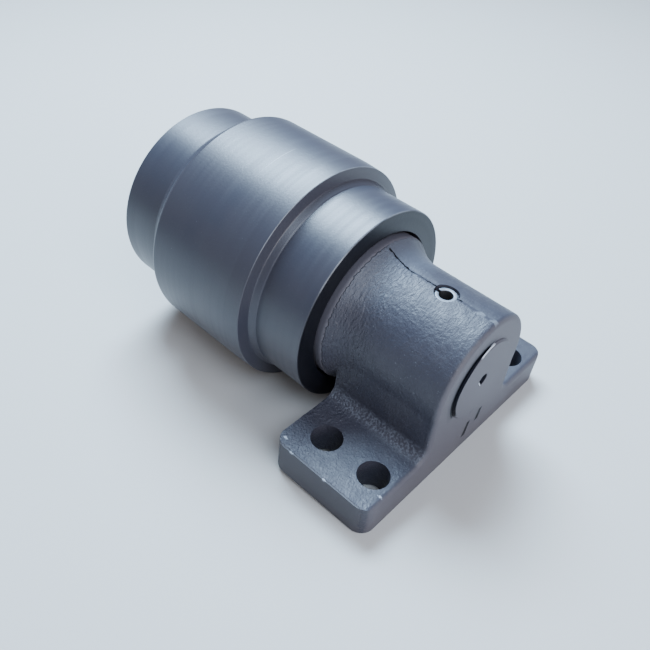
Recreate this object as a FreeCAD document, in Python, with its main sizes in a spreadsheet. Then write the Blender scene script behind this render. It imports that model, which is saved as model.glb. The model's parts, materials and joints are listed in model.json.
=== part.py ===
# Carrier roller for a crawler excavator, in millimetres.
# A cast pedestal with four bolt holes holds a pressed-in shaft, on which a plain roller turns.
# Row frame: origin at the middle of the bolt pattern on the pedestal's underside,
# +Z up from the mounting face, +Y along the shaft from the pedestal to the roller.
import FreeCAD
import Part
import math
import os
import re

import Sketcher

SIZES = {
    # pedestal foot
    "foot_width": 172.4,
    "foot_depth": 66.4,
    "foot_thickness": 21.0,
    "foot_corner_radius": 8.5,
    "foot_blend_radius": 8.0,
    "bolt_side_margin": 21.2,
    "bolt_front_margin": 13.75,
    "bolt_rear_margin": 19.65,
    "bolt_hole_diameter": 18.0,
    # pedestal body
    "axis_height": 57.65,
    "boss_wall": 13.5,
    "boss_draft": 0.3,
    "web_inset": 0.8,
    "front_lean": 0.6,
    "front_edge_radius": 3.0,
    "crease_radius": 6.0,
    "flare_setback": 12.8,
    "flare_angle": 37.0,
    "flare_radius": 28.0,
    "nose_wall": 4.3,
    "nose_reach": 11.4,
    "edge_break": 1.0,
    # shaft
    "shaft_radius": 25.0,
    "shaft_overhang": 0.6,
    "collar_step": 4.0,
    "centre_radius": 2.4,
    "centre_depth": 9.0,
    "centre_sink": 1.6,
    "oilway_radius": 4.0,
    "oil_port_radius": 3.0,
    "groove_setback": 20.0,
    # lock pin through pedestal and shaft
    "pin_station": 32.7,
    "pin_radius": 6.0,
    "pin_bore_radius": 3.85,
    "pin_slot": 2.0,
    "pin_length": 69.0,
    "pin_recess": 1.4,
    "pin_mouth_radius": 7.0,
    "pin_mouth_depth": 2.4,
    "pin_end_clearance": 2.0,
    # floating seal
    "seal_bore_clearance": 2.0,
    "seal_hub_wall": 3.8,
    "seal_rim_play": 1.2,
    "seal_rim_thickness": 2.8,
    "seal_length": 10.0,
    "seal_film": 0.05,
    "nose_to_seal_plane": 1.0,
    "toric_space": 7.2,
    "toric_play": 0.05,
    "toric_gap": 0.15,
    "seat_depth": 11.2,
    # roller shell
    "foot_gap": 10.4,
    "nose_clearance": 1.5,
    "nose_end_gap": 2.8,
    "neck_wall": 12.7,
    "neck_length": 32.2,
    "land_step": 0.7,
    "land_width": 3.2,
    "land_rise": 0.4,
    "land_blend_radius": 0.8,
    "shoulder_length": 5.2,
    "tread_height": 9.5,
    "tread_edge_drop": 0.6,
    "tread_taper": 10.8,
    "tread_length": 72.1,
    "tread_rear_rounding": 2.6,
    "rear_slope": 7.4,
    "rear_blend_radius": 5.0,
    "tail_wall": 9.8,
    "tail_length": 34.4,
    # bushings
    "bushing_wall": 5.0,
    "bushing_rim_width": 5.95,
    "bushing_rim_thickness": 4.0,
    "running_clearance": 0.05,
    "rim_clearance": 0.1,
    "oil_cavity_depth": 3.95,
    "oil_cavity_width": 8.0,
    # thrust plate and its bolts
    "plate_inset": 2.0,
    "plate_thickness": 6.0,
    "plate_window_radius": 5.0,
    "end_play": 0.1,
    "bolt_circle_radius": 15.0,
    "bolt_radius": 4.0,
    "bolt_clearance": 0.3,
    "bolt_length": 20.0,
    "bolt_head_flats": 13.0,
    "bolt_head_height": 5.3,
    "bolt_head_gap": 2.2,
    "washer_width": 2.5,
    "washer_thickness": 2.0,
    "washer_gap_angle": 12.0,
    # end cover, its seal and snap ring
    "chamber_step": 3.9,
    "cover_seat_width": 10.0,
    "cover_fit": 0.05,
    "cover_thickness": 7.4,
    "cover_dish_radius": 30.0,
    "cover_dish_depth": 2.0,
    "ring_groove_depth": 3.1,
    "ring_cord_radius": 1.5,
    "snap_setback": 3.6,
    "snap_thickness": 2.5,
    "snap_depth": 1.9,
    "snap_width": 5.5,
    "snap_gap": 22.0,
    "snap_lug_radius": 4.0,
    "snap_lug_hole_radius": 1.5,
    # oil plug in the middle of the cover
    "plug_radius": 6.0,
    "plug_shank": 6.5,
    "plug_flange_radius": 10.0,
    "plug_flange_thickness": 1.4,
    "plug_head_flats": 13.0,
    "plug_head_height": 3.0,
    "plug_washer_thickness": 1.2,
}

# Stations are counted along the shaft from the foot's front edge, and radii build up from the shaft.
STATIONS = {
    # bolt pattern
    "bolt_half_across": "foot_width / 2 - bolt_side_margin",
    "bolt_rear_row": "foot_depth - bolt_rear_margin",
    "bolt_middle": "(bolt_front_margin + bolt_rear_row) / 2",
    # radii of the seal and the nose
    "collar_radius": "shaft_radius + collar_step",
    "seal_bore_radius": "collar_radius + seal_bore_clearance",
    "seal_hub_radius": "seal_bore_radius + seal_hub_wall",
    "seat_radius": "seal_hub_radius + toric_space",
    "seal_rim_radius": "seat_radius - seal_rim_play",
    "toric_radius": "seal_hub_radius + toric_space / 2",
    "toric_cord_radius": "toric_space / 2 - toric_play",
    "toric_setback": "seal_rim_thickness + edge_break / 2 + toric_cord_radius + toric_gap",
    "nose_radius": "seat_radius + nose_wall",
    "mouth_radius": "nose_radius + nose_clearance",
    # radii of the bushings, the cover and the roller
    "bushing_bore": "shaft_radius + running_clearance",
    "bushing_outer": "bushing_bore + bushing_wall",
    "bushing_rim_radius": "bushing_outer + bushing_rim_width",
    "rim_recess_radius": "bushing_rim_radius + rim_clearance",
    "oil_cavity_radius": "bushing_outer + oil_cavity_depth",
    "plate_radius": "bushing_rim_radius - plate_inset",
    "chamber_radius": "rim_recess_radius + chamber_step",
    "cover_radius": "chamber_radius + cover_seat_width",
    "tail_radius": "cover_radius + tail_wall",
    "neck_radius": "mouth_radius + neck_wall",
    "tread_radius": "neck_radius + tread_height",
    # stations of the nose, the seal and the roller's outside
    "shell_front": "foot_depth + foot_gap",
    "nose_end": "shell_front + nose_reach",
    "seat_floor": "nose_end - seat_depth",
    "shaft_groove_station": "seat_floor - groove_setback",
    "seal_plane": "nose_end + nose_to_seal_plane",
    "mouth_floor": "nose_end + nose_end_gap",
    "shell_seat_floor": "mouth_floor + seat_depth",
    "land_start": "shell_front + neck_length",
    "tread_front": "land_start + shoulder_length",
    "tread_rear": "tread_front + tread_length",
    "shell_end": "tread_rear + rear_slope + tail_length",
    # stations of the cover, the thrust plate and the bushings
    "snap_end": "shell_end - snap_setback",
    "cover_end": "snap_end - snap_thickness",
    "cover_station": "cover_end - cover_thickness",
    "washer_end": "cover_station - bolt_head_gap - bolt_head_height",
    "plate_end": "washer_end - washer_thickness",
    "shaft_rear": "plate_end - plate_thickness",
    "collar_end": "shell_seat_floor - end_play",
    "front_rim_floor": "shell_seat_floor + bushing_rim_thickness",
    "rear_rim_end": "shaft_rear - end_play",
    "rear_rim_floor": "rear_rim_end - bushing_rim_thickness",
    "cavity_middle": "(front_rim_floor + rear_rim_floor) / 2",
    "cavity_start": "cavity_middle - oil_cavity_width / 2",
    "cavity_end": "cavity_middle + oil_cavity_width / 2",
    # pedestal body and lock pin
    "boss_slope": "tan(boss_draft)",
    "boss_front_radius": "shaft_radius + boss_wall",
    "flare_start": "shell_front - flare_setback",
    "boss_rear_radius": "boss_front_radius + flare_start * boss_slope",
    "flare_end": "flare_start + (nose_radius - boss_rear_radius) / tan(flare_angle)",
    "web_front_half": "boss_front_radius - web_inset",
    "web_rear_half": "web_front_half + foot_depth * boss_slope",
    "pin_top": "boss_front_radius + pin_station * boss_slope - pin_recess",
    "pin_bottom": "pin_top - pin_length",
}

BOLT_COUNT = 3

NODES = []

document = FreeCAD.newDocument("carrier_roller")


def on_sheets(text):
    """Put the sheet's name before each size in an expression."""
    def named(word):
        name = word.group()
        if name in SIZES:
            return "dims." + name
        if name in STATIONS:
            return "stations." + name
        return name
    return re.sub(r"\b[a-z]\w*\b(?!\()", named, text)


def fill_sheet(name, cells):
    sheet = document.addObject("Spreadsheet::Sheet", name)
    for row, (alias, content) in enumerate(cells.items(), start=1):
        sheet.set(f"A{row}", alias)
        sheet.set(f"B{row}", content)
        sheet.setAlias(f"B{row}", alias)
    return sheet


def bind(target, prop, text):
    target.setExpression(prop, on_sheets(text))


def origin_plane(body, role):
    return next(item for item in body.Origin.OriginFeatures if item.Role == role)


def new_body(name, along="-bolt_middle", up="axis_height", across="0"):
    """A sub-part whose local origin is placed in the row frame by the sheet."""
    body = document.addObject("PartDesign::Body", name)
    body.Label = name
    bind(body, "Placement.Base.x", across)
    bind(body, "Placement.Base.y", along)
    bind(body, "Placement.Base.z", up)
    NODES.append(body)
    return body


def new_sketch(body, role, offset=None):
    sketch = body.newObject("Sketcher::SketchObject", f"{body.Name}_sketch")
    sketch.AttachmentSupport = [(origin_plane(body, role), "")]
    sketch.MapMode = "FlatFace"
    if offset:
        bind(sketch, "AttachmentOffset.Base.z", offset)
    return sketch


def fix_point(sketch, index, end, across, along):
    """Tie one point of a sketch to the sheet, counted from the sketch's origin."""
    for kind, text in (("DistanceX", across), ("DistanceY", along)):
        here = sketch.getPoint(index, end)
        datum = here.x if kind == "DistanceX" else here.y
        number = sketch.addConstraint(Sketcher.Constraint(kind, -1, 1, index, end, datum))
        bind(sketch, f"Constraints[{number}]", text)


def add_outline(sketch, corners):
    """A closed outline of straight edges through the given corners."""
    count = len(corners)
    turn = 2 * math.pi / count
    ring = [FreeCAD.Vector(math.cos(turn * i), math.sin(turn * i), 0) for i in range(count)]
    first = sketch.GeometryCount
    for i in range(count):
        sketch.addGeometry(Part.LineSegment(ring[i], ring[(i + 1) % count]), False)
    for i in range(count):
        following = first + (i + 1) % count
        sketch.addConstraint(Sketcher.Constraint("Coincident", first + i, 2, following, 1))
    for i, (across, along) in enumerate(corners):
        fix_point(sketch, first + i, 1, across, along)


def add_circle(sketch, across, along, radius):
    index = sketch.addGeometry(Part.Circle(FreeCAD.Vector(1, 1, 0), FreeCAD.Vector(0, 0, 1), 1), False)
    fix_point(sketch, index, 3, across, along)
    number = sketch.addConstraint(Sketcher.Constraint("Radius", index, 1))
    bind(sketch, f"Constraints[{number}]", radius)


def add_hexagon(sketch, flats):
    """A regular hexagon about the origin with the given width across flats."""
    corners = []
    for i in range(6):
        angle = f"({60 * i + 30} deg)"
        reach = f"{flats} / 2 / cos(30 deg)"
        corners.append((f"{reach} * cos{angle}", f"{reach} * sin{angle}"))
    add_outline(sketch, corners)


def revolve(body, corners, kind="PartDesign::Revolution"):
    """Turn an outline of (radius, station) corners about the body's Y axis."""
    sketch = new_sketch(body, "XY_Plane")
    add_outline(sketch, corners)
    feature = body.newObject(kind, f"{body.Name}_turned")
    feature.Profile = sketch
    feature.ReferenceAxis = (sketch, ["V_Axis"])
    feature.Angle = 360
    return feature


def extrude(body, sketch, length, cut=False, both=False, backward=False, through=False):
    kind = "PartDesign::Pocket" if cut else "PartDesign::Pad"
    feature = body.newObject(kind, f"{body.Name}_extruded")
    feature.Profile = sketch
    feature.Midplane = both
    feature.Reversed = backward
    if through:
        feature.Type = "ThroughAll"
    else:
        bind(feature, "Length", length)
    return feature


def round_edges(body, chosen, radius, name="round"):
    """Round the edges of the body's present shape that the chooser picks."""
    document.recompute()
    base = body.Tip
    names = [f"Edge{i}" for i, edge in enumerate(base.Shape.Edges, start=1) if chosen(edge)]
    if not names:
        raise RuntimeError(f"{body.Label}: no edge to round for {name}")
    feature = body.newObject("PartDesign::Fillet", f"{body.Name}_{name}")
    feature.Base = (base, names)
    bind(feature, "Radius", radius)
    document.recompute()
    return feature


def polar_pattern(body, feature, count):
    pattern = body.newObject("PartDesign::PolarPattern", f"{body.Name}_pattern")
    pattern.Originals = [feature]
    pattern.Axis = (origin_plane(body, "Y_Axis"), [""])
    pattern.Angle = 360
    pattern.Occurrences = count
    body.Tip = pattern
    return pattern


def circle_at(edge, station, radius, axis_up=0.0):
    """True for a full circular edge about the shaft axis at this station and radius."""
    curve = edge.Curve
    if not isinstance(curve, Part.Circle):
        return False
    middle = curve.Center
    return (abs(curve.Radius - radius) < 0.01 and abs(middle.y - station) < 0.01
            and abs(middle.z - axis_up) < 0.01)


dims = fill_sheet("dims", {name: str(value) for name, value in SIZES.items()})
stations = fill_sheet("stations", {name: "=" + on_sheets(text) for name, text in STATIONS.items()})
document.recompute()


def size(name):
    """The present value of a size or station."""
    value = (dims if name in SIZES else stations).get(name)
    return float(getattr(value, "Value", value))


def make_bracket():
    """Cast pedestal: foot, web and round boss that flares into the nose inside the roller."""
    body = new_body("bracket", up="0")
    axis_up = size("axis_height")

    boss = new_sketch(body, "YZ_Plane")
    radii = (("0", "0"), ("0", "boss_front_radius"), ("flare_start", "boss_rear_radius"),
             ("flare_end", "nose_radius"), ("nose_end - edge_break", "nose_radius"),
             ("nose_end", "nose_radius - edge_break"), ("nose_end", "0"))
    add_outline(boss, [(along, f"axis_height + {radius}") for along, radius in radii])
    turned = body.newObject("PartDesign::Revolution", "bracket_boss")
    turned.Profile = boss
    turned.ReferenceAxis = (boss, [f"Edge{len(radii)}"])
    turned.Angle = 360
    round_edges(body, lambda edge: circle_at(edge, size("flare_start"), size("boss_rear_radius"), axis_up),
                "flare_radius", "flare")

    web = new_sketch(body, "XY_Plane")
    add_outline(web, [("-web_front_half", "0"), ("web_front_half", "0"),
                      ("web_rear_half", "foot_depth"), ("-web_rear_half", "foot_depth")])
    extrude(body, web, "axis_height")

    foot = new_sketch(body, "XY_Plane")
    add_outline(foot, [("-foot_width / 2", "0"), ("foot_width / 2", "0"),
                       ("foot_width / 2", "foot_depth"), ("-foot_width / 2", "foot_depth")])
    extrude(body, foot, "foot_thickness")

    top = size("foot_thickness")
    half = size("foot_width") / 2

    def is_foot_corner(edge):
        box = edge.BoundBox
        return box.ZLength > top - 0.01 and abs(abs(box.Center.x) - half) < 0.01 and box.YLength < 0.01

    def is_web_root(edge):
        box = edge.BoundBox
        flat = box.ZLength < 0.01 and abs(box.Center.z - top) < 0.01
        return flat and box.YLength > size("foot_depth") / 2 and abs(box.Center.x) < size("boss_rear_radius")

    def is_crease(edge):
        box = edge.BoundBox
        low = axis_up - size("boss_front_radius") / 2 < box.Center.z < axis_up - 1
        side = size("web_front_half") - 0.1 < abs(box.Center.x) < size("web_rear_half") + 0.1
        return low and side and box.YLength > size("foot_depth") / 2

    round_edges(body, is_foot_corner, "foot_corner_radius", "corners")
    round_edges(body, is_crease, "crease_radius", "creases")
    round_edges(body, is_web_root, "foot_blend_radius", "roots")

    lean = new_sketch(body, "YZ_Plane")
    add_outline(lean, [("-edge_break * tan(front_lean)", "-edge_break"), ("-edge_break", "-edge_break"),
                       ("-edge_break", "axis_height + nose_radius"),
                       ("(axis_height + nose_radius) * tan(front_lean)", "axis_height + nose_radius")])
    extrude(body, lean, "foot_width + 2 * foot_corner_radius", cut=True, both=True)

    lean_slope = math.tan(math.radians(size("front_lean")))

    def is_front_outline(edge):
        """On the leaning front face, above the mounting face."""
        on_face = all(abs(point.y - point.z * lean_slope) < 0.02 for point in edge.discretize(5))
        return on_face and edge.BoundBox.ZMax > top - 2 and edge.BoundBox.ZMin > 1

    round_edges(body, is_front_outline, "front_edge_radius", "front_outline")

    core = new_sketch(body, "YZ_Plane")
    radii = (("-edge_break", "0"), ("-edge_break", "shaft_radius"), ("seat_floor", "shaft_radius"),
             ("seat_floor", "seat_radius"), ("nose_end - edge_break", "seat_radius"),
             ("nose_end + edge_break", "seat_radius + 2 * edge_break"), ("nose_end + edge_break", "0"))
    add_outline(core, [(along, f"axis_height + {radius}") for along, radius in radii])
    bore = body.newObject("PartDesign::Groove", "bracket_bore")
    bore.Profile = core
    bore.ReferenceAxis = (core, [f"Edge{len(radii)}"])
    bore.Angle = 360

    pin_hole = new_sketch(body, "XY_Plane", offset="axis_height + pin_bottom - pin_end_clearance")
    add_circle(pin_hole, "0", "pin_station", "pin_radius")
    extrude(body, pin_hole, None, cut=True, backward=True, through=True)
    mouth = new_sketch(body, "XY_Plane", offset="axis_height + pin_top + pin_recess - pin_mouth_depth")
    add_circle(mouth, "0", "pin_station", "pin_mouth_radius")
    extrude(body, mouth, None, cut=True, backward=True, through=True)

    holes = new_sketch(body, "XY_Plane")
    for across in ("-bolt_half_across", "bolt_half_across"):
        for along in ("bolt_front_margin", "bolt_rear_row"):
            add_circle(holes, across, along, "bolt_hole_diameter / 2")
    extrude(body, holes, None, cut=True, backward=True, through=True)
    return body


def radial_hole(body, station, radius, both):
    """A hole square to the shaft axis, along the body's Z axis."""
    sketch = new_sketch(body, "XY_Plane")
    add_circle(sketch, "0", station, radius)
    return extrude(body, sketch, None, cut=True, both=both, through=True)


def make_shaft():
    """Stepped shaft with centre hole, lock-pin hole, seal groove, thrust collar and oilway."""
    body = new_body("shaft")
    groove = "shaft_groove_station"
    revolve(body, [
        ("0", "centre_depth - shaft_overhang"),
        ("centre_radius", "centre_depth - shaft_overhang - centre_radius / 2"),
        ("centre_radius", "centre_sink - shaft_overhang"),
        ("centre_radius + centre_sink", "-shaft_overhang"),
        ("shaft_radius - edge_break", "-shaft_overhang"),
        ("shaft_radius", "edge_break - shaft_overhang"),
        ("shaft_radius", groove),
        ("shaft_radius - ring_groove_depth", groove),
        ("shaft_radius - ring_groove_depth", f"{groove} + 2 * ring_cord_radius + rim_clearance"),
        ("shaft_radius", f"{groove} + 2 * ring_cord_radius + rim_clearance"),
        ("shaft_radius", "seat_floor"),
        ("collar_radius", "seat_floor"),
        ("collar_radius", "collar_end"),
        ("shaft_radius", "collar_end"),
        ("shaft_radius", "shaft_rear - edge_break"),
        ("shaft_radius - edge_break", "shaft_rear"),
        ("oilway_radius", "shaft_rear"),
        ("oilway_radius", "cavity_middle"),
        ("0", "cavity_middle - oilway_radius / 2"),
    ])
    radial_hole(body, "pin_station", "pin_radius", both=True)
    radial_hole(body, "cavity_middle + oilway_radius / 2", "oil_port_radius", both=True)
    tapped = new_sketch(body, "XZ_Plane", offset="-shaft_rear")
    add_circle(tapped, "0", "bolt_circle_radius", "bolt_radius")
    holes = extrude(body, tapped, "bolt_length + bolt_radius - plate_thickness - washer_thickness",
                    cut=True, backward=True)
    polar_pattern(body, holes, BOLT_COUNT)


def make_lock_pin():
    """Slotted spring pin, driven down through the boss and the shaft."""
    body = new_body("shaft_lock_pin", along="pin_station - bolt_middle", up="axis_height + pin_bottom")
    ring = new_sketch(body, "XY_Plane")
    add_circle(ring, "0", "0", "pin_radius")
    add_circle(ring, "0", "0", "pin_bore_radius")
    extrude(body, ring, "pin_length")
    slot = new_sketch(body, "XY_Plane")
    slot_end = "pin_radius + edge_break"
    add_outline(slot, [("-pin_slot / 2", "0"), ("pin_slot / 2", "0"),
                       ("pin_slot / 2", slot_end), ("-pin_slot / 2", slot_end)])
    extrude(body, slot, None, cut=True, backward=True, through=True)


def make_ring_cord(name, radius, cord_radius, station):
    """A round-section rubber ring about the shaft axis."""
    ring = document.addObject("Part::Torus", name)
    ring.Label = name
    ring.Placement.Rotation = FreeCAD.Rotation(FreeCAD.Vector(1, 0, 0), -90)
    bind(ring, "Radius1", radius)
    bind(ring, "Radius2", cord_radius)
    bind(ring, "Placement.Base.y", f"{station} - bolt_middle")
    bind(ring, "Placement.Base.z", "axis_height")
    NODES.append(ring)


def make_seal_half(which, side):
    """One metal ring of the floating seal and its toric ring; side is - towards the pedestal."""
    def away(distance):
        return f"seal_plane {side} ({distance})"

    body = new_body(f"{which}_seal_ring")
    revolve(body, [
        ("seal_bore_radius", away("seal_film / 2")),
        ("seal_rim_radius", away("seal_film / 2")),
        ("seal_rim_radius", away("seal_rim_thickness")),
        ("seal_hub_radius", away("seal_rim_thickness + edge_break / 2")),
        ("seal_hub_radius", away("seal_length")),
        ("seal_bore_radius", away("seal_length")),
    ])
    make_ring_cord(f"{which}_toric_ring", "toric_radius", "toric_cord_radius", away("toric_setback"))


def make_roller_shell():
    """Forged and turned roller: front neck, tread and tail, bored for seal, bushings and cover."""
    body = new_body("roller_shell")
    rear_foot = "tread_rear + rear_slope"
    revolve(body, [
        ("mouth_radius + edge_break / 2", "shell_front"),
        ("neck_radius - edge_break", "shell_front"),
        ("neck_radius", "shell_front + edge_break"),
        ("neck_radius", "land_start"),
        ("neck_radius + land_step", "land_start + land_step"),
        ("neck_radius + land_step + land_rise", "land_start + land_width"),
        ("tread_radius - tread_edge_drop", "tread_front"),
        ("tread_radius", "tread_front + tread_taper"),
        ("tread_radius", "tread_rear"),
        ("tail_radius", rear_foot),
        ("tail_radius", "shell_end - edge_break"),
        ("tail_radius - edge_break", "shell_end"),
        ("cover_radius + edge_break", "shell_end"),
        ("cover_radius", "shell_end - edge_break"),
        ("cover_radius", "snap_end"),
        ("cover_radius + snap_depth", "snap_end"),
        ("cover_radius + snap_depth", "cover_end"),
        ("cover_radius", "cover_end"),
        ("cover_radius", "cover_station"),
        ("chamber_radius", "cover_station"),
        ("chamber_radius", "rear_rim_end"),
        ("rim_recess_radius", "rear_rim_end"),
        ("rim_recess_radius", "rear_rim_floor"),
        ("bushing_outer", "rear_rim_floor"),
        ("bushing_outer", "cavity_end"),
        ("oil_cavity_radius", "cavity_end"),
        ("oil_cavity_radius", "cavity_start"),
        ("bushing_outer", "cavity_start"),
        ("bushing_outer", "front_rim_floor"),
        ("rim_recess_radius", "front_rim_floor"),
        ("rim_recess_radius", "shell_seat_floor"),
        ("seat_radius", "shell_seat_floor"),
        ("seat_radius", "mouth_floor + edge_break"),
        ("seat_radius + edge_break", "mouth_floor"),
        ("mouth_radius", "mouth_floor"),
        ("mouth_radius", "shell_front + edge_break / 2"),
    ])
    inner_land = size("neck_radius") + size("land_step") + size("land_rise")
    land_end = size("land_start") + size("land_width")
    tail_start = size("tread_rear") + size("rear_slope")
    rounds = (
        (land_end, inner_land, "land_blend_radius", "front_fillet"),
        (size("tread_rear"), size("tread_radius"), "tread_rear_rounding", "rear_edge"),
        (tail_start, size("tail_radius"), "rear_blend_radius", "rear_fillet"),
    )
    for station, radius, rounding, name in rounds:
        round_edges(body, lambda edge: circle_at(edge, station, radius), rounding, name)


def make_bushing(which, tip, floor, face):
    """Flanged bronze bushing pressed into the shell; its rim takes the end thrust."""
    body = new_body(f"{which}_bushing")
    inwards = "+" if which == "front" else "-"
    revolve(body, [
        ("bushing_bore", face),
        ("bushing_rim_radius", face),
        ("bushing_rim_radius", floor),
        ("bushing_outer", floor),
        ("bushing_outer", f"{tip} - ({inwards} edge_break)"),
        ("bushing_outer - edge_break", tip),
        ("bushing_bore", tip),
    ])


def make_thrust_plate():
    """Round plate on the shaft's end that keeps the roller on the shaft."""
    body = new_body("thrust_plate")
    revolve(body, [
        ("plate_window_radius", "shaft_rear"),
        ("plate_radius", "shaft_rear"),
        ("plate_radius", "plate_end - edge_break"),
        ("plate_radius - edge_break", "plate_end"),
        ("plate_window_radius", "plate_end"),
    ])
    hole = new_sketch(body, "XZ_Plane", offset="-plate_end")
    add_circle(hole, "0", "bolt_circle_radius", "bolt_radius + bolt_clearance")
    holes = extrude(body, hole, "plate_thickness", cut=True, backward=True)
    polar_pattern(body, holes, BOLT_COUNT)


def make_plate_bolt(index):
    """Hexagon bolt and its spring washer that hold the thrust plate."""
    angle = f"({90 + 360 * index / BOLT_COUNT:g} deg)"
    across = f"bolt_circle_radius * cos{angle}"
    up = f"axis_height + bolt_circle_radius * sin{angle}"

    bolt = new_body(f"plate_bolt_{index + 1}", along="washer_end - bolt_middle", across=across, up=up)
    head = new_sketch(bolt, "XZ_Plane")
    add_hexagon(head, "bolt_head_flats")
    extrude(bolt, head, "bolt_head_height", backward=True)
    shank = new_sketch(bolt, "XZ_Plane")
    add_circle(shank, "0", "0", "bolt_radius")
    extrude(bolt, shank, "bolt_length")

    washer = new_body(f"plate_washer_{index + 1}", along="plate_end - bolt_middle", across=across, up=up)
    inner = "bolt_radius + rim_clearance"
    split = revolve(washer, [
        (inner, "0"),
        (f"{inner} + washer_width", "0"),
        (f"{inner} + washer_width", "washer_thickness"),
        (inner, "washer_thickness"),
    ])
    bind(split, "Angle", "360 - washer_gap_angle")


def make_end_cover():
    """Turned cover with a sealing groove that closes the roller's outer end."""
    body = new_body("end_cover")
    outer = "cover_radius - cover_fit"
    groove = "cover_station + cover_thickness / 2 - ring_cord_radius"
    groove_end = "cover_station + cover_thickness / 2 + ring_cord_radius"
    revolve(body, [
        ("plug_radius", "cover_station + cover_dish_depth"),
        ("cover_dish_radius", "cover_station + cover_dish_depth"),
        ("cover_dish_radius + cover_dish_depth", "cover_station"),
        (f"{outer} - edge_break", "cover_station"),
        (outer, "cover_station + edge_break"),
        (outer, groove),
        (f"{outer} - ring_groove_depth", groove),
        (f"{outer} - ring_groove_depth", groove_end),
        (outer, groove_end),
        (outer, "cover_end"),
        ("plug_radius", "cover_end"),
    ])


def make_snap_ring():
    """Internal snap ring in the shell's groove, with two lugs for the pliers."""
    body = new_body("cover_snap_ring", along="cover_end - bolt_middle")
    reach = "cover_radius + snap_depth - rim_clearance"
    ring = new_sketch(body, "XZ_Plane")
    add_circle(ring, "0", "0", reach)
    add_circle(ring, "0", "0", f"{reach} - snap_width")
    extrude(body, ring, "snap_thickness", backward=True)
    gap = new_sketch(body, "XZ_Plane")
    gap_end = "cover_radius + snap_width"
    add_outline(gap, [("-snap_gap / 2", "0"), ("snap_gap / 2", "0"),
                      ("snap_gap / 2", gap_end), ("-snap_gap / 2", gap_end)])
    extrude(body, gap, "snap_thickness", cut=True)
    lug_across = "(snap_gap / 2 + snap_lug_radius)"
    lug_up = f"sqrt(({reach} - snap_lug_radius - rim_clearance) ^ 2 - {lug_across} ^ 2)"
    for side in ("-", ""):
        lug = new_sketch(body, "XZ_Plane")
        add_circle(lug, side + lug_across, lug_up, "snap_lug_radius")
        extrude(body, lug, "snap_thickness", backward=True)
    eyes = new_sketch(body, "XZ_Plane")
    for side in ("-", ""):
        add_circle(eyes, side + lug_across, lug_up, "snap_lug_hole_radius")
    extrude(body, eyes, "snap_thickness", cut=True)


def make_oil_plug():
    """Flanged hexagon plug of the oil chamber, with its sealing washer."""
    washer = new_body("oil_plug_washer", along="cover_end - bolt_middle")
    revolve(washer, [
        ("plug_radius + rim_clearance", "0"),
        ("plug_flange_radius", "0"),
        ("plug_flange_radius", "plug_washer_thickness"),
        ("plug_radius + rim_clearance", "plug_washer_thickness"),
    ])
    body = new_body("oil_plug", along="cover_end + plug_washer_thickness - bolt_middle")
    revolve(body, [
        ("0", "-plug_shank"),
        ("plug_radius - edge_break", "-plug_shank"),
        ("plug_radius", "edge_break - plug_shank"),
        ("plug_radius", "0"),
        ("plug_flange_radius", "0"),
        ("plug_flange_radius", "plug_flange_thickness"),
        ("0", "plug_flange_thickness"),
    ])
    head = new_sketch(body, "XZ_Plane")
    add_hexagon(head, "plug_head_flats")
    extrude(body, head, "plug_flange_thickness + plug_head_height", backward=True)


def check_document():
    document.recompute()
    for item in document.Objects:
        if "Invalid" in item.State or "Error" in item.State:
            raise RuntimeError(f"{item.Name}: {item.State}")
    for node in NODES:
        shape = node.Shape
        if shape.isNull() or not shape.isValid() or len(shape.Solids) != 1:
            raise RuntimeError(f"{node.Label}: not one valid solid")


def main():
    make_bracket()
    make_shaft()
    make_lock_pin()
    make_ring_cord("shaft_seal_ring", "shaft_radius - ring_cord_radius", "ring_cord_radius",
                   "shaft_groove_station + ring_cord_radius + rim_clearance / 2")
    make_seal_half("fixed", "-")
    make_seal_half("rotating", "+")
    make_roller_shell()
    make_bushing("front", "cavity_start", "front_rim_floor", "shell_seat_floor")
    make_bushing("rear", "cavity_end", "rear_rim_floor", "rear_rim_end")
    make_thrust_plate()
    for index in range(BOLT_COUNT):
        make_plate_bolt(index)
    make_end_cover()
    make_ring_cord("cover_seal_ring", "cover_radius - cover_fit - ring_cord_radius", "ring_cord_radius",
                   "cover_station + cover_thickness / 2")
    make_snap_ring()
    make_oil_plug()
    check_document()
    os.makedirs("parts", exist_ok=True)
    for node in NODES:
        node.Shape.exportStep(f"parts/{node.Label}.step")
        box = node.Shape.BoundBox
        print(f"{node.Label:20} {node.Shape.Volume:10.0f} mm3  "
              f"y {box.YMin:7.2f} to {box.YMax:7.2f}  z {box.ZMin:7.2f} to {box.ZMax:7.2f}")


main()
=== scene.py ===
import bmesh
import bpy
import json
import math
from mathutils import Matrix, Vector


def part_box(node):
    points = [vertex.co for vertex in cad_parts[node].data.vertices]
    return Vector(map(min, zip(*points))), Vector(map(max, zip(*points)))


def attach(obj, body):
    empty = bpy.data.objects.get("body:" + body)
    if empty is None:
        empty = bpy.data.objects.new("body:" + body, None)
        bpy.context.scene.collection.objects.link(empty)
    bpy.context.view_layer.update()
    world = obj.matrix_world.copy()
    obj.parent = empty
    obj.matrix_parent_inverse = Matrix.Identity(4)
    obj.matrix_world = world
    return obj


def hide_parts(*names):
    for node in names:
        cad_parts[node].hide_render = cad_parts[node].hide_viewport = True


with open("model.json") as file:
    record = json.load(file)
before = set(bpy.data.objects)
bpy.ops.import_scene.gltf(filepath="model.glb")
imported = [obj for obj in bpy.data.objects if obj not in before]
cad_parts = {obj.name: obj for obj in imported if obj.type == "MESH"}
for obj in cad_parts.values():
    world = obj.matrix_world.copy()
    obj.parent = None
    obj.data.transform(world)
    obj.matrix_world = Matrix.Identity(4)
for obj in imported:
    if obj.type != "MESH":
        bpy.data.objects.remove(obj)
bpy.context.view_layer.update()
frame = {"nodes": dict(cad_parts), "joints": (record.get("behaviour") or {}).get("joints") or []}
millimetre = 0.001
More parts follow.
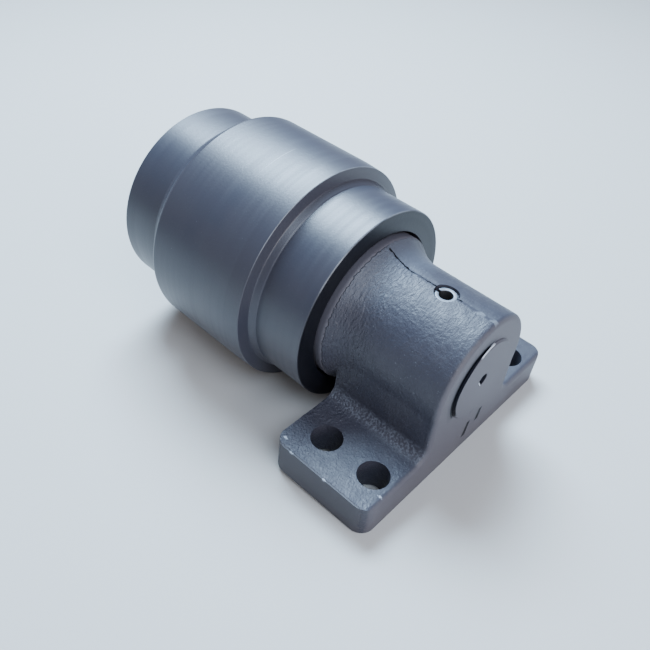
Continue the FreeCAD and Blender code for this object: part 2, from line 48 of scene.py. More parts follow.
nodes = frame["nodes"]
axisHeight = frame["joints"][0]["pos_m"][2]
shaftOverhang = 0.6 * millimetre
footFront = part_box("shaft")[0].y + shaftOverhang  # stations along the shaft are counted from here
frontLean = math.tan(math.radians(0.6))  # of the pedestal's front face, against upright


# Camera, in the place and at the angle of the photograph
cameraSizes = {
    "place": (-260.93, -127.46, 325.02),
    "turn": -51.698,
    "height": 42.464,
    "roll": 7.006,
    "lens": 39.55,
    "sensor": 36.0,
}


def makeCamera():
    turn = math.radians(cameraSizes["turn"])
    height = math.radians(cameraSizes["height"])
    roll = math.radians(cameraSizes["roll"])
    back = Vector((math.sin(turn) * math.cos(height), -math.cos(turn) * math.cos(height), math.sin(height)))
    level = Vector((math.cos(turn), math.sin(turn), 0))
    upright = back.cross(level)
    right = math.cos(roll) * level + math.sin(roll) * upright
    up = back.cross(right)
    cameraData = bpy.data.cameras.new("photoCamera")
    cameraData.sensor_width = cameraSizes["sensor"]
    cameraData.lens = cameraSizes["lens"]
    cameraData.clip_start = 0.01
    camera = bpy.data.objects.new("photoCamera", cameraData)
    bpy.context.scene.collection.objects.link(camera)
    turned = Matrix((right, up, back)).transposed().to_4x4()
    camera.matrix_world = Matrix.Translation(Vector(cameraSizes["place"]) * millimetre) @ turned
    bpy.context.scene.camera = camera


makeCamera()
print("camera set")


# Floor that touches the foot's front edge and the tread's rear end, as the roller lies when set down
floorSizes = {
    "width": 8.0,
    "tone": (0.50, 0.49, 0.47, 1),
    "rough": 0.6,
    "specular": 0.2,
    "treadRear": 0.1535,
    "below": 0.0002,
}


def deselect():
    if bpy.context.object and bpy.context.object.mode != "OBJECT":
        bpy.ops.object.mode_set(mode="OBJECT")
    bpy.ops.object.select_all(action="DESELECT")


def makeFloor():
    deselect()
    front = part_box("bracket")[0].y
    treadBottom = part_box("roller_shell")[0].z
    lean = math.atan2(treadBottom, floorSizes["treadRear"] - front)
    bpy.ops.mesh.primitive_plane_add(size=floorSizes["width"])
    floor = bpy.context.object
    floor.name = "floor"
    floor.matrix_world = Matrix.Translation((0, front, -floorSizes["below"])) @ Matrix.Rotation(lean, 4, "X")
    bpy.ops.object.transform_apply(location=True, rotation=True, scale=True)
    material = bpy.data.materials.new("paleFloor")
    material.use_nodes = True
    shader = material.node_tree.nodes["Principled BSDF"]
    shader.inputs["Base Color"].default_value = floorSizes["tone"]
    shader.inputs["Roughness"].default_value = floorSizes["rough"]
    shader.inputs["Specular IOR Level"].default_value = floorSizes["specular"]
    floor.data.materials.append(material)


makeFloor()
print("floor laid")


# Studio: a soft window-like light above and behind the roller, two weaker ones in front and a pale surround
lightSizes = {
    "window": {"from": (0.29, 0.49, 0.82), "away": 1.25, "size": (0.75, 0.6), "power": 74,
               "tone": (0.56, 0.77, 1.0)},
    "room": {"from": (-0.14, -0.92, 0.32), "away": 1.6, "size": (1.2, 0.7), "power": 17,
             "tone": (1.0, 0.96, 0.99)},
    "sky": {"from": (-0.26, -0.50, 0.83), "away": 1.5, "size": (0.9, 0.8), "power": 20,
            "tone": (0.68, 0.81, 1.0)},
}
lightAim = (0.0, 0.07, 0.05)
surround = {"tone": (1.0, 0.95, 0.98, 1), "strength": 0.36}


def makeLights():
    for name, sizes in lightSizes.items():
        lightData = bpy.data.lights.new(name + "Light", "AREA")
        lightData.shape = "RECTANGLE"
        lightData.size, lightData.size_y = sizes["size"]
        lightData.energy = sizes["power"]
        lightData.color = sizes["tone"]
        light = bpy.data.objects.new(name + "Light", lightData)
        bpy.context.scene.collection.objects.link(light)
        away = Vector(sizes["from"]).normalized()
        light.location = Vector(lightAim) + away * sizes["away"]
        light.rotation_euler = away.to_track_quat("Z", "Y").to_euler()
    world = bpy.data.worlds.new("surround")
    world.use_nodes = True
    background = world.node_tree.nodes["Background"]
    background.inputs["Color"].default_value = surround["tone"]
    background.inputs["Strength"].default_value = surround["strength"]
    bpy.context.scene.world = world


makeLights()
print("lights placed")


# Small helpers for the finishes
def newFinish(name):
    material = bpy.data.materials.new(name)
    material.use_nodes = True
    tree = material.node_tree
    return material, tree, tree.nodes["Principled BSDF"]


def addNode(tree, kind, inputs, **settings):
    node = tree.nodes.new(kind)
    for key, value in settings.items():
        setattr(node, key, value)
    for key, value in inputs.items():
        if isinstance(value, bpy.types.NodeSocket):
            tree.links.new(value, node.inputs[key])
        else:
            node.inputs[key].default_value = value
    return node


def metres(*lengths):
    return [length * millimetre for length in lengths]


def radians(*angles):
    return [math.radians(angle) for angle in angles]


def calc(tree, operation, *values):
    return addNode(tree, "ShaderNodeMath", dict(enumerate(values)), operation=operation).outputs[0]


def times(tree, product, *others):
    for other in others:
        product = calc(tree, "MULTIPLY", product, other)
    return product


def most(tree, largest, *others):
    for other in others:
        largest = calc(tree, "MAXIMUM", largest, other)
    return largest


def minus(tree, first, second):
    return calc(tree, "SUBTRACT", first, second)


def apart(tree, first, second=0.0):
    return calc(tree, "ABSOLUTE", minus(tree, first, second))


def fade(tree, value, low, high, start=0.0, end=1.0):
    inputs = {"Value": value, "From Min": low, "From Max": high, "To Min": start, "To Max": end}
    return addNode(tree, "ShaderNodeMapRange", inputs, interpolation_type="SMOOTHSTEP").outputs[0]


def fadeOut(tree, value, low, high, start=1.0):
    return fade(tree, value, low, high, start, 0.0)


def within(tree, value, low, full, thin, high):
    # 0 below the first limit, 1 between the middle two, 0 above the last
    return times(tree, fade(tree, value, low, full), fadeOut(tree, value, thin, high))


def blend(tree, share, first, second):
    return addNode(tree, "ShaderNodeMix", {0: share, 6: first, 7: second}, data_type="RGBA").outputs[2]


def noise(tree, place, scale, detail, warp=0.0):
    inputs = {"Vector": place, "Scale": scale, "Detail": detail, "Distortion": warp}
    return addNode(tree, "ShaderNodeTexNoise", inputs).outputs["Fac"]


def patches(tree, place, grain, low=0.35, high=0.65, start=0.0, end=1.0):
    # a noise of a grain (scale and detail) that fades between two limits from one value to another
    return fade(tree, noise(tree, place, *grain), low, high, start, end)


def wobble(tree, place, grain, width):
    # a noise about zero, as a length
    return times(tree, minus(tree, noise(tree, place, *grain), 0.5), width * millimetre)


def stretch(tree, place, scale):
    return addNode(tree, "ShaderNodeMapping", {"Vector": place, "Scale": scale}).outputs[0]


def raised(tree, height, distance, under=None):
    inputs = {"Height": height, "Distance": distance * millimetre}
    if under:
        inputs["Normal"] = under
    return addNode(tree, "ShaderNodeBump", inputs).outputs[0]


def objectPlace(tree):
    return addNode(tree, "ShaderNodeTexCoord", {}).outputs["Object"]


def axes(tree, place):
    split = addNode(tree, "ShaderNodeSeparateXYZ", {0: place})
    return split.outputs[0], split.outputs[1], split.outputs[2]


def fromSpot(tree, x, z, across=0.0, above=0.0):
    # distance from the shaft axis, or from a line beside it
    side = minus(tree, x, across * millimetre)
    up = minus(tree, z, axisHeight + above * millimetre)
    return calc(tree, "SQRT", calc(tree, "ADD", times(tree, side, side), times(tree, up, up)))


def turnOf(tree, x, z):
    # angle round the shaft axis, from straight up towards +x
    return calc(tree, "ARCTAN2", x, minus(tree, z, axisHeight))


def turnedPlace(tree, place):
    # place along the shaft and radius only, so that a pattern runs round the shaft axis
    x, y, z = axes(tree, place)
    return addNode(tree, "ShaderNodeCombineXYZ", {0: fromSpot(tree, x, z), 1: y, 2: 0.0}).outputs[0]


# Paint of the turned roller: grey blue, half gloss, with faint turning marks under it and thin on its edges;
# painted highlight on its edges and on a line round the tread, painted shade on its front faces.
# Here and for the casting, lengths are in millimetres and places in the frame's own axes.
rollerPaintSizes = {
    "tones": ((0.027, 0.029, 0.043, 1), (0.034, 0.034, 0.046, 1)),
    "cloud": ((22, 3), 0.35, 0.65),
    "dustAndHighlight": (0.16, 0.17, 0.19, 1),
    "specks": ((1500, 1), 0.76, 0.82, 0.0, 0.4),
    "gloss": ((260, 4), 0.3, 0.7, 0.36, 0.42),
    "specular": 0.55,
    "marks": {"grain": (900, 3), "height": 0.005},
    "peel": {"grain": (700, 2), "height": 0.04},
    "face": {"tone": (0.007, 0.008, 0.013, 1), "ends": (46.7, 47.0), "shadeMetal": 0.55},  # painted shade: the front faces beside the seal gap are darkened and made a dark metal, as if shaded
    "edges": ((46.55, 60.5, 0.42, 0.80), (83.95, 69.4, 0.20, 0.45)),  # place, radius, worn and clean distance; the lightening is partly wear, partly painted highlight
    "edgeHighlightTurns": (-66.0, -46.0, 0.12),  # painted highlight: hardly lightened before the first angle, fully past the second, where the edges catch the light
    # painted highlight: a lighter line round a part of the tread, where a bright dash falls
    "highlightLine": {"at": 115.5, "half": (0.14, 0.35), "turns": (-27.0, -9.81, -2.73, 3.0)},
    "wear": ((60, 3), 0.35, 0.60, 0.35, 0.9),
}


def rollerWearAndHighlight(tree, place):
    # edges lightened on one side, partly wear and partly painted highlight, and a painted highlight line
    # round a part of the tread
    sizes = rollerPaintSizes
    x, y, z = axes(tree, place)
    reach = fromSpot(tree, x, z)
    turn = turnOf(tree, x, z)
    edges = []
    for at, radius, worn, clean in sizes["edges"]:
        off = calc(tree, "ADD", apart(tree, y, at * millimetre), apart(tree, reach, radius * millimetre))
        edges.append(fadeOut(tree, off, *metres(worn, clean)))
    first, second, least = sizes["edgeHighlightTurns"]
    edge = times(tree, most(tree, *edges), fade(tree, turn, *radians(first, second), least, 1.0))
    highlightLine = sizes["highlightLine"]
    line = fadeOut(tree, apart(tree, y, highlightLine["at"] * millimetre), *metres(*highlightLine["half"]))
    line = times(tree, line, within(tree, turn, *radians(*highlightLine["turns"])))
    return times(tree, most(tree, edge, line), patches(tree, place, *sizes["wear"]))


def paintRoller():
    sizes = rollerPaintSizes
    material, tree, shader = newFinish("rollerPaint")
    place = objectPlace(tree)
    turned = turnedPlace(tree, place)
    tone = blend(tree, patches(tree, place, *sizes["cloud"]), *sizes["tones"])
    # painted shade: darker, dark-metal front faces beside the seal gap
    face = fadeOut(tree, axes(tree, place)[1], *metres(*sizes["face"]["ends"]))
    tone = blend(tree, face, tone, sizes["face"]["tone"])
    # edges and the tread line lightened: partly wear, partly painted highlight
    tone = blend(tree, rollerWearAndHighlight(tree, place), tone, sizes["dustAndHighlight"])
    tone = blend(tree, patches(tree, place, *sizes["specks"]), tone, sizes["dustAndHighlight"])
    tree.links.new(tone, shader.inputs["Base Color"])
    tree.links.new(times(tree, face, sizes["face"]["shadeMetal"]), shader.inputs["Metallic"])
    tree.links.new(patches(tree, turned, *sizes["gloss"]), shader.inputs["Roughness"])
    shader.inputs["Specular IOR Level"].default_value = sizes["specular"]
    marks = raised(tree, noise(tree, turned, *sizes["marks"]["grain"]), sizes["marks"]["height"])
    peel = raised(tree, noise(tree, place, *sizes["peel"]["grain"]), sizes["peel"]["height"], under=marks)
    tree.links.new(peel, shader.inputs["Normal"])
    return material


# Paint of the cast pedestal: the same colour over a wrinkled casting skin, smooth where it is machined; its
# machined front face painted lighter as lit, its gaps, nicks, centre hole and seam painted dark as shade, and
# painted highlights on the shaft end, the web's root and the flare
castPaintSizes = {
    "tones": ((0.028, 0.029, 0.043, 1), (0.036, 0.036, 0.049, 1)),
    "cloud": ((30, 4), 0.35, 0.65),
    # painted light: the machined front face is lighter than the machined ends of the foot, as lit from the
    # front
    "litFrontTone": (0.065, 0.061, 0.075, 1),
    "sideTone": (0.039, 0.037, 0.047, 1),
    "dustAndHighlight": (0.20, 0.22, 0.25, 1),
    "specks": ((900, 2), 0.68, 0.74, 0.0, 0.35),
    "paintedShadeTone": (0.006, 0.007, 0.011, 1),
    "gapDepth": 0.5,
    "gloss": ((180, 3), 0.3, 0.7, 0.44, 0.54),
    "smoothGloss": 0.56,
    "specular": 0.5,
    "wrinkles": {"grain": (620, 4), "warp": 0.5, "height": 0.42, "pitch": 17.0},
    "flareDepth": (8.0, 28.0, 0.75, 2.0),  # from and to along the shaft, and the wrinkles' share there
    "rightDepth": (-2.0, 1.0, 1.0, 0.35),  # the same across the shaft
    "peel": {"grain": (760, 3), "height": 0.22},
    "fine": {"grain": (1600, 2), "height": 0.06},
}
# where the casting skin begins behind the front face, inside the foot's ends and before the nose
castEdges = {
    "front": (0.4, 2.2),
    "side": (0.8, 1.4),
    "nose": (42.5, 43.1),
    "jag": ((420, 3), 2.4),
    "frontJag": 0.4,
}
# painted light: a paler band where the web runs out into the foot, and a paler top of the flare, where light
# falls on them
paintedLightSizes = {
    "root": {"tone": (0.085, 0.095, 0.120, 1), "heights": (20.6, 22.6, 24.8, 30.0), "across": (56.0, 62.0),
             "patches": ((800, 4), 0.42, 0.66)},
    "flare": {"tone": (0.060, 0.066, 0.086, 1), "along": (14.0, 32.0), "above": (22.0, 36.0)},
}
# parting line on top of the boss: painted shade along it, dark and broken behind the lock pin; painted
# highlight in pale patches in front of it
seamSizes = {
    "half": (0.126, 0.672),
    "border": (0.7, 1.3),
    "width": ((260, 2), 0.38, 0.62),
    "wander": ((170, 3), 2.6),
    "heights": (88.0, 90.0),
    "paintedShade": (-7.6, -6.4, 41.0, 42.0),
    "litSeam": {"ends": (-8.0, -7.0), "grain": (300, 2), "wide": 2.8, "border": (-0.4, 0.2),
              "patches": ((120, 2), 0.44, 0.56, 0.0, 0.5)},
}
chipSizes = {
    "tone": (0.26, 0.29, 0.34, 1),
    "spots": ((-72.7, -27.3, 21.0, 1.1), (-81.0, 32.0, 20.6, 1.5), (-85.8, 22.6, 20.6, 1.1),
              (-85.8, -0.5, 20.6, 1.2)),
    "shape": (1.5, 0.75, 1.2),
    "solid": 0.6,
    "ragged": ((1300, 3), 3.0),
}
# two short chisel nicks low on the front face, painted dark as the shade in them: across, middle height and
# half length of each
nickSizes = {
    "spots": ((1.5, 15.4, 6.2), (12.5, 20.0, 5.2)),
    "half": (2.1, 1.7),
    "border": (0.6, 1.1),
    "tip": 1.2,
    "lean": -0.19,
}
# painted shade: the shaded side beside the shaft end lies between two circles (across, above, radius), with
# softer painted shade round it, and the centre hole is painted dark; painted highlights on the shaft end's
# rim and on a spot of the centre hole's rim
shaftEndSizes = {
    "circles": ((-0.3, 0.5, 26.4), (0.9, 0.6, 24.4)),
    "outerBorder": (-0.3, 0.4),
    "innerBorder": (-0.2, 0.2),
    "softShade": (0.0, 4.5, 0.3),
    "across": (-4.0, 6.0),
    "turns": (-129.0, -117.0),
    "hole": (3.6, 3.8),
    "highlightTone": (0.52, 0.56, 0.62, 1),
    "highlightTurns": (-26.0, -20.27, 1.27, 7.0),
    "highlightRim": (-0.7, -0.4, -0.1, 0.1),
    "highlightSpot": {"at": (-0.9, -3.2), "border": (0.45, 0.9)},
    "onFront": (1.2, 1.6),
}


def castShare(tree, place):
    # 1 on the casting skin, 0 on the machined faces, with a jagged border; and the share of the foot's ends
    x, y, z = axes(tree, place)
    jag = wobble(tree, place, *castEdges["jag"])
    behind = minus(tree, minus(tree, y, footFront), times(tree, z, frontLean))
    behind = calc(tree, "ADD", behind, times(tree, jag, castEdges["frontJag"]))
    front = fade(tree, behind, *metres(*castEdges["front"]))
    inside = minus(tree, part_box("bracket")[1].x, apart(tree, x))
    side = fade(tree, calc(tree, "ADD", inside, jag), *metres(*castEdges["side"]))
    nose = fadeOut(tree, calc(tree, "ADD", y, jag), *metres(*castEdges["nose"]))
    return times(tree, front, side, nose), times(tree, minus(tree, 1.0, side), front)


def seamShares(tree, place):
    x, y, z = axes(tree, place)
    off = apart(tree, calc(tree, "ADD", x, wobble(tree, place, *seamSizes["wander"])))
    width = patches(tree, place, *seamSizes["width"], *metres(*seamSizes["half"]))
    high = fade(tree, z, *metres(*seamSizes["heights"]))
    line = fadeOut(tree, calc(tree, "DIVIDE", off, width), *seamSizes["border"])
    # painted shade in the seam's groove
    paintedShade = times(tree, line, high, within(tree, y, *metres(*seamSizes["paintedShade"])))
    litSeam = seamSizes["litSeam"]
    wide = times(tree, noise(tree, place, *litSeam["grain"]), litSeam["wide"] * millimetre)
    # painted highlight on the seam's step in front of the pin
    paleHighlight = fadeOut(tree, minus(tree, off, wide), *metres(*litSeam["border"]))
    ahead = fadeOut(tree, y, *metres(*litSeam["ends"]))
    return paintedShade, times(tree, paleHighlight, high, ahead, patches(tree, place, *litSeam["patches"]))


def paintedLightShares(tree, place):
    x, y, z = axes(tree, place)
    root, flare = paintedLightSizes["root"], paintedLightSizes["flare"]
    band = within(tree, z, *metres(*root["heights"]))
    band = times(tree, band, fadeOut(tree, apart(tree, x), *metres(*root["across"])))
    band = times(tree, band, patches(tree, place, *root["patches"]))
    above = fade(tree, minus(tree, z, axisHeight), *metres(*flare["above"]))
    return band, times(tree, fade(tree, y, *metres(*flare["along"])), above)


def chipShare(tree, place):
    ragged = wobble(tree, place, *chipSizes["ragged"])
    squeezed = stretch(tree, place, chipSizes["shape"])
    chips = []
    for *spot, reach in chipSizes["spots"]:
        spot = [part * factor * millimetre for part, factor in zip(spot, chipSizes["shape"])]
        distance = addNode(tree, "ShaderNodeVectorMath", {0: squeezed, 1: spot}, operation="DISTANCE")
        away = calc(tree, "ADD", distance.outputs["Value"], ragged)
        chips.append(fadeOut(tree, away, *metres(chipSizes["solid"] * reach, reach)))
    return most(tree, *chips)


def nickShare(tree, x, z):
    nicks = []
    for across, middle, tall in nickSizes["spots"]:
        above = minus(tree, z, middle * millimetre)
        middleLine = calc(tree, "ADD", x, times(tree, above, nickSizes["lean"]))
        half = fade(tree, above, *metres(-tall, tall, *nickSizes["half"]))
        off = calc(tree, "DIVIDE", apart(tree, middleLine, across * millimetre), half)
        tip = fadeOut(tree, apart(tree, above), *metres(tall - nickSizes["tip"], tall))
        nicks.append(times(tree, fadeOut(tree, off, *nickSizes["border"]), tip))
    return most(tree, *nicks)


def frontShares(tree, place):
    # the painted shade of the front face, and its painted highlights
    sizes = shaftEndSizes
    x, y, z = axes(tree, place)
    turn = turnOf(tree, x, z)
    outside, inside = (minus(tree, fromSpot(tree, x, z, across, above), radius * millimetre)
                       for across, above, radius in sizes["circles"])
    *softShadeEnds, softShadeShare = sizes["softShade"]
    gapShade = most(tree, fadeOut(tree, outside, *metres(*sizes["outerBorder"])),
               fadeOut(tree, outside, *metres(*softShadeEnds), softShadeShare))
    gapShade = times(tree, gapShade, fade(tree, inside, *metres(*sizes["innerBorder"])),
                fadeOut(tree, x, *metres(*sizes["across"])), fade(tree, turn, *radians(*sizes["turns"])))
    hole = fadeOut(tree, fromSpot(tree, x, z), *metres(*sizes["hole"]))
    # painted highlight on the upper left of the shaft end's rim and on the lit spot of the centre hole
    rimHighlight = times(tree, within(tree, turn, *radians(*sizes["highlightTurns"])),
                within(tree, inside, *metres(*sizes["highlightRim"])))
    highlightSpot = sizes["highlightSpot"]
    spot = fadeOut(tree, fromSpot(tree, x, z, *highlightSpot["at"]), *metres(*highlightSpot["border"]))
    onFront = fadeOut(tree, minus(tree, y, footFront), *metres(*sizes["onFront"]))
    paintedHighlight = times(tree, most(tree, rimHighlight, spot), onFront)
    paintedShade = times(tree, most(tree, gapShade, hole, nickShare(tree, x, z)), onFront)
    return times(tree, paintedShade, minus(tree, 1.0, paintedHighlight)), paintedHighlight


def paintCasting():
    sizes = castPaintSizes
    material, tree, shader = newFinish("castingPaint")
    place = objectPlace(tree)
    x, y, z = axes(tree, place)
    cast, ends = castShare(tree, place)
    seamShade, seamHighlight = seamShares(tree, place)
    root, flare = paintedLightShares(tree, place)
    frontShade, paintedHighlight = frontShares(tree, place)
    paintedShade = most(tree, seamShade, frontShade)
    tone = blend(tree, patches(tree, place, *sizes["cloud"]), *sizes["tones"])
    # painted light: paler top of the flare
    tone = blend(tree, flare, tone, paintedLightSizes["flare"]["tone"])
    # painted light: lighter machined front face, the foot's ends in their own tone
    tone = blend(tree, cast, blend(tree, ends, sizes["litFrontTone"], sizes["sideTone"]), tone)
    tone = blend(tree, times(tree, patches(tree, place, *sizes["specks"]), cast), tone, sizes["dustAndHighlight"])
    # painted highlight along the seam in front of the pin
    tone = blend(tree, seamHighlight, tone, sizes["dustAndHighlight"])
    # painted highlight: paler band at the root of the web
    tone = blend(tree, times(tree, root, cast), tone, paintedLightSizes["root"]["tone"])
    tone = blend(tree, chipShare(tree, place), tone, chipSizes["tone"])
    # painted shade: seam, gap beside the shaft end, centre hole and nicks
    tone = blend(tree, paintedShade, tone, sizes["paintedShadeTone"])
    # painted highlights on the shaft end's rim and in the centre hole
    tone = blend(tree, paintedHighlight, tone, shaftEndSizes["highlightTone"])
    tree.links.new(tone, shader.inputs["Base Color"])
    rough = patches(tree, place, *sizes["gloss"])
    gloss = addNode(tree, "ShaderNodeMix", {0: cast, 2: sizes["smoothGloss"], 3: rough}).outputs[0]
    tree.links.new(gloss, shader.inputs["Roughness"])
    tree.links.new(paintedShade, shader.inputs["Metallic"])  # painted shade: the dark marks are a black metal that reflects nothing, as a deep gap in shade does
    shader.inputs["Specular IOR Level"].default_value = sizes["specular"]
    # the wrinkles run round the boss, and are deepest on the left of the flare
    low, high, *depths = sizes["rightDepth"]
    share = times(tree, cast, fade(tree, x, *metres(low, high), *depths))
    low, high, *depths = sizes["flareDepth"]
    wrinkled = sizes["wrinkles"]
    turn = times(tree, turnOf(tree, x, z), wrinkled["pitch"] * millimetre)
    around = addNode(tree, "ShaderNodeCombineXYZ", {0: turn, 1: y, 2: fromSpot(tree, x, z)}).outputs[0]
    wrinkles = times(tree, noise(tree, around, *wrinkled["grain"], warp=wrinkled["warp"]), share,
                     fade(tree, y, *metres(low, high), *depths))
    peel = times(tree, noise(tree, place, *sizes["peel"]["grain"]), share)
    normal = raised(tree, wrinkles, wrinkled["height"])
    normal = raised(tree, peel, sizes["peel"]["height"], under=normal)
    normal = raised(tree, noise(tree, place, *sizes["fine"]["grain"]), sizes["fine"]["height"], under=normal)
    normal = raised(tree, times(tree, paintedShade, -1.0), sizes["gapDepth"], under=normal)
    tree.links.new(normal, shader.inputs["Normal"])
    return material


# Bare and plated metals, rubber: two tones, share of metal, limits of the roughness
metalSizes = {
    "turnedSteel": ((0.30, 0.30, 0.31, 1), (0.42, 0.41, 0.40, 1), 1.0, (0.25, 0.42)),
    "sealIron": ((0.20, 0.20, 0.21, 1), (0.30, 0.29, 0.28, 1), 1.0, (0.18, 0.34)),
    "bronze": ((0.45, 0.26, 0.10, 1), (0.60, 0.38, 0.17, 1), 1.0, (0.28, 0.45)),
    "rubbedSteel": ((0.13, 0.15, 0.18, 1), (0.22, 0.24, 0.27, 1), 0.5, (0.34, 0.50)),
    "zincPlate": ((0.36, 0.37, 0.39, 1), (0.50, 0.50, 0.49, 1), 1.0, (0.28, 0.46)),
    "copper": ((0.52, 0.22, 0.12, 1), (0.66, 0.33, 0.20, 1), 1.0, (0.26, 0.42)),
    "blackSpring": ((0.018, 0.018, 0.020, 1), (0.035, 0.034, 0.034, 1), 0.4, (0.38, 0.55)),
    "sealRubber": ((0.010, 0.010, 0.011, 1), (0.020, 0.020, 0.020, 1), 0.0, (0.50, 0.68)),
}
metalStain = (90, 4)
metalLines = {"grain": (1400, 3), "limits": (0.3, 0.7), "height": 0.03}


def makeMetal(name):
    *tones, metal, gloss = metalSizes[name]
    material, tree, shader = newFinish(name)
    place = objectPlace(tree)
    tone = blend(tree, patches(tree, place, metalStain), *tones)
    tree.links.new(tone, shader.inputs["Base Color"])
    lines = noise(tree, turnedPlace(tree, place), *metalLines["grain"])
    tree.links.new(fade(tree, lines, *metalLines["limits"], *gloss), shader.inputs["Roughness"])
    shader.inputs["Metallic"].default_value = metal
    tree.links.new(raised(tree, lines, metalLines["height"]), shader.inputs["Normal"])
    return material


# Work in edit mode
def selectSpots(mesh, spots):
    bpy.ops.mesh.select_mode(type="VERT")
    bpy.ops.mesh.select_all(action="DESELECT")
    form = bmesh.from_edit_mesh(mesh)
    for vertex in form.verts:
        vertex.select = any((vertex.co - spot).length < 0.01 * millimetre for spot in spots)
    form.select_flush_mode()
    bmesh.update_edit_mesh(mesh)


def applyModifier(kind, **settings):
    modifier = bpy.context.object.modifiers.new(kind.lower(), kind)
    for key, value in settings.items():
        setattr(modifier, key, value)
    bpy.ops.object.modifier_apply(modifier=modifier.name)


def mergedCopy(node, name):
    deselect()
    piece = bpy.data.objects.new(name, nodes[node].data.copy())
    bpy.context.scene.collection.objects.link(piece)
    piece.select_set(True)
    bpy.context.view_layer.objects.active = piece
    bpy.ops.object.mode_set(mode="EDIT")
    bpy.ops.mesh.select_all(action="SELECT")
    bpy.ops.mesh.remove_doubles(threshold=0.001 * millimetre)
    bpy.ops.mesh.normals_make_consistent(inside=False)
    bpy.ops.object.mode_set(mode="OBJECT")
    return piece


def turnPiece(name, corners, steps, roundSteps=5):
    # a square is merged to one point, drawn out from corner to corner, rounded and spun round the axis
    spots = [Vector((radius, station, 0)) * millimetre + Vector((0, footFront, axisHeight))
             for station, radius, cut in corners]
    deselect()
    bpy.ops.mesh.primitive_plane_add(size=millimetre, location=spots[0])
    piece = bpy.context.object
    piece.name = name
    bpy.ops.object.transform_apply(location=True, rotation=True, scale=True)
    bpy.ops.object.mode_set(mode="EDIT")
    bpy.ops.mesh.merge(type="CENTER")
    for here, there in zip(spots, spots[1:]):
        bpy.ops.mesh.extrude_region_move(TRANSFORM_OT_translate={"value": there - here})
    selectSpots(piece.data, (spots[0], spots[-1]))
    bpy.ops.mesh.edge_face_add()
    for cut in sorted({corner[2] for corner in corners} - {0}):
        selectSpots(piece.data, [spot for spot, corner in zip(spots, corners) if corner[2] == cut])
        bpy.ops.mesh.bevel(affect="VERTICES", offset=cut * millimetre, segments=roundSteps, profile=0.5)
    bpy.ops.mesh.select_all(action="SELECT")
    bpy.ops.mesh.spin(steps=steps, angle=2 * math.pi, center=(0, 0, axisHeight), axis=(0, 1, 0))
    bpy.ops.mesh.select_all(action="SELECT")
    bpy.ops.mesh.remove_doubles(threshold=0.001 * millimetre)
    bpy.ops.mesh.normals_make_consistent(inside=False)
    bpy.ops.object.mode_set(mode="OBJECT")
    bpy.ops.object.shade_smooth_by_angle(angle=math.radians(32))
    applyModifier("WEIGHTED_NORMAL", mode="FACE_AREA", keep_sharp=True)
    return piece


# Shell of the roller: station from the foot's front edge, radius, and how much each corner's rounding cuts
shellSizes = {
    "steps": 240,
    "outside": (
        (76.8, 47.8, 0.5), (76.8, 60.5, 0.8), (109.0, 60.5, 0.2), (109.6, 61.0, 0.2), (113.0, 62.6, 0.5),
        (114.2, 69.4, 0.4), (125.0, 70.0, 0.15), (187.3, 70.0, 1.3), (197.6, 59.8, 2.4), (228.1, 59.8, 1.0),
    ),
    "inside": (
        (228.1, 50.0, 1.0), (224.5, 50.0, 0.2), (224.5, 51.9, 0), (222.0, 51.9, 0), (222.0, 50.0, 0.2),
        (214.6, 50.0, 0.2), (214.6, 40.0, 0.2), (199.0, 40.0, 0.2), (199.0, 36.1, 0.2), (195.0, 36.1, 0),
        (195.0, 30.05, 0.2), (154.6, 30.05, 0.2), (154.6, 34.0, 0.2), (146.6, 34.0, 0.2), (146.6, 30.05, 0.2),
        (106.2, 30.05, 0.2), (106.2, 36.1, 0), (102.2, 36.1, 0.2), (102.2, 42.0, 0.2), (92.0, 42.0, 0.2),
        (91.0, 43.0, 0.2), (91.0, 47.8, 0.2),
    ),
}


def makeShell(paint):
    shell = turnPiece("turnedShell", shellSizes["outside"] + shellSizes["inside"], shellSizes["steps"])
    shell.data.materials.append(paint)
    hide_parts("roller_shell")
    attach(shell, "roller")


# Casting: a copy of the solid with an even mesh, whose cast faces get a wavy skin
pedestalSizes = {
    "depth": 8,
    "scale": 0.68,
    "frontEdge": 1.6,
    "noseEdge": 42.5,
    "footHalf": 86.2,
    "shaftRadius": 25.0,
    "boltHole": 9.0,
    "boltAcross": 65.0,
    "boltAlong": 16.5,
    "fade": 1.6,
    "waves": {"grain": 7.0, "depth": 0.30, "stretch": (1.0, 0.8, 1.9)},
    "lumps": {"grain": 2.4, "depth": 0.13, "stretch": (1.0, 0.7, 1.8)},
    "seamStep": 0.35,
    "stepFade": 6.0,
    "sharpAbove": 40.0,
}


def skinShare(spot):
    # 1 on the cast faces, fading to 0 near the machined ones and the holes
    sizes = pedestalSizes
    x, y, z = spot / millimetre
    toFront = (spot.y - footFront - spot.z * frontLean) / millimetre - sizes["frontEdge"]
    toNose = sizes["noseEdge"] - y
    toSide = sizes["footHalf"] - abs(x)
    toShaft = math.hypot(x, z - axisHeight / millimetre) - sizes["shaftRadius"]
    toHole = math.hypot(abs(x) - sizes["boltAcross"], abs(y) - sizes["boltAlong"]) - sizes["boltHole"]
    nearest = min(toFront, toNose, toSide, toShaft, toHole, z)
    return max(0.0, min(1.0, nearest / sizes["fade"]))


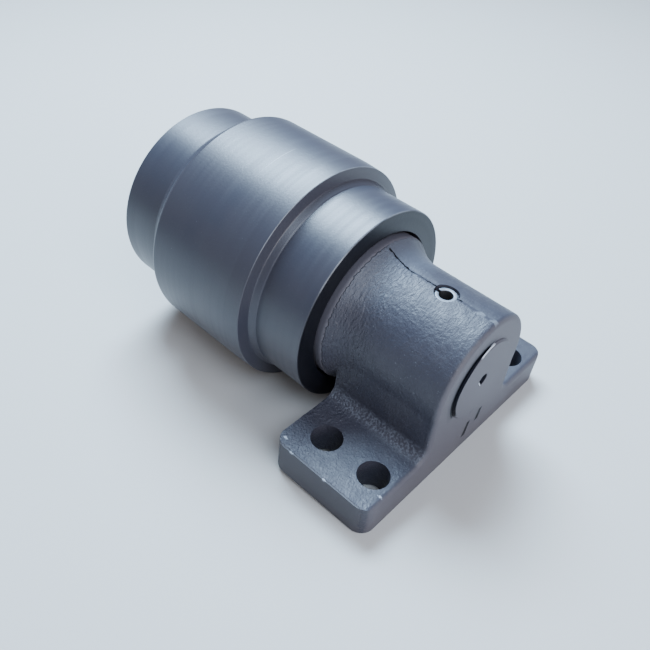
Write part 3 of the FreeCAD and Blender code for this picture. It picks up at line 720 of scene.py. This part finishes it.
def makePedestal(paint):
    sizes = pedestalSizes
    pedestal = mergedCopy("bracket", "castPedestal")
    applyModifier("REMESH", mode="SHARP", octree_depth=sizes["depth"], scale=sizes["scale"],
                  use_remove_disconnected=False)
    skin = pedestal.vertex_groups.new(name="skin")
    leftHalf = pedestal.vertex_groups.new(name="leftHalf")
    for vertex in pedestal.data.vertices:
        share = skinShare(vertex.co)
        if share > 0:
            skin.add([vertex.index], share, "REPLACE")
            if vertex.co.x < 0:
                step = share / (1 - vertex.co.x / (sizes["stepFade"] * millimetre))
                leftHalf.add([vertex.index], step, "REPLACE")
    for kind in ("waves", "lumps"):
        place = bpy.data.objects.new(kind + "Place", None)
        bpy.context.scene.collection.objects.link(place)
        place.scale = Vector(sizes[kind]["stretch"])
        bpy.context.view_layer.update()
        pattern = bpy.data.textures.new(kind, "CLOUDS")
        pattern.noise_scale = sizes[kind]["grain"] * millimetre
        pattern.noise_depth = 2
        applyModifier("DISPLACE", texture=pattern, texture_coords="OBJECT", texture_coords_object=place,
                      strength=sizes[kind]["depth"] * millimetre, mid_level=0.6, vertex_group="skin")
        bpy.data.objects.remove(place)
    applyModifier("DISPLACE", strength=sizes["seamStep"] * millimetre, mid_level=0.0, vertex_group="leftHalf")
    bpy.ops.object.shade_smooth_by_angle(angle=math.radians(sizes["sharpAbove"]))
    pedestal.data.materials.clear()
    pedestal.data.materials.append(paint)
    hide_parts("bracket")
    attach(pedestal, "pedestal")


# Lock pin: slotted spring pin with rolled ends
pinSizes = {
    "rounding": 0.62,
    "steps": 4,
    "roundedAbove": 50.0,
    "sharpAbove": 35.0,
    "darkBelow": 1.0,
}


def makeLockPin(finish, boreShade):
    pin = mergedCopy("shaft_lock_pin", "lockPin")
    applyModifier("BEVEL", width=pinSizes["rounding"] * millimetre, segments=pinSizes["steps"],
                  limit_method="ANGLE", angle_limit=math.radians(pinSizes["roundedAbove"]))
    bpy.ops.object.shade_smooth_by_angle(angle=math.radians(pinSizes["sharpAbove"]))
    pin.data.materials.clear()
    pin.data.materials.append(finish)
    pin.data.materials.append(boreShade)  # painted shade: black below its end, so its bore looks dark
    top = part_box("shaft_lock_pin")[1].z - pinSizes["darkBelow"] * millimetre
    for face in pin.data.polygons:
        face.material_index = 1 if face.center.z < top else 0
    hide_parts("shaft_lock_pin")
    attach(pin, "pedestal")


rollerPaint = paintRoller()
castingPaint = paintCasting()
metals = {name: makeMetal(name) for name in metalSizes}
nodeFinishes = {
    "roller_shell": rollerPaint,
    "end_cover": rollerPaint,
    "bracket": castingPaint,
    "shaft": castingPaint,
    "shaft_lock_pin": metals["rubbedSteel"],
    "fixed_seal_ring": metals["sealIron"],
    "rotating_seal_ring": metals["sealIron"],
    "fixed_toric_ring": metals["sealRubber"],
    "rotating_toric_ring": metals["sealRubber"],
    "shaft_seal_ring": metals["sealRubber"],
    "cover_seal_ring": metals["sealRubber"],
    "front_bushing": metals["bronze"],
    "rear_bushing": metals["bronze"],
    "thrust_plate": metals["turnedSteel"],
    "cover_snap_ring": metals["blackSpring"],
    "oil_plug": metals["zincPlate"],
    "oil_plug_washer": metals["copper"],
}
for name, node in nodes.items():
    finish = nodeFinishes.get(name, metals["zincPlate"])
    node.data.materials.clear()
    node.data.materials.append(finish)
print("finishes on")

makeShell(rollerPaint)
print("roller shell turned")
makePedestal(castingPaint)
print("pedestal cast")
makeLockPin(metals["rubbedSteel"], metals["sealRubber"])
print("lock pin made")
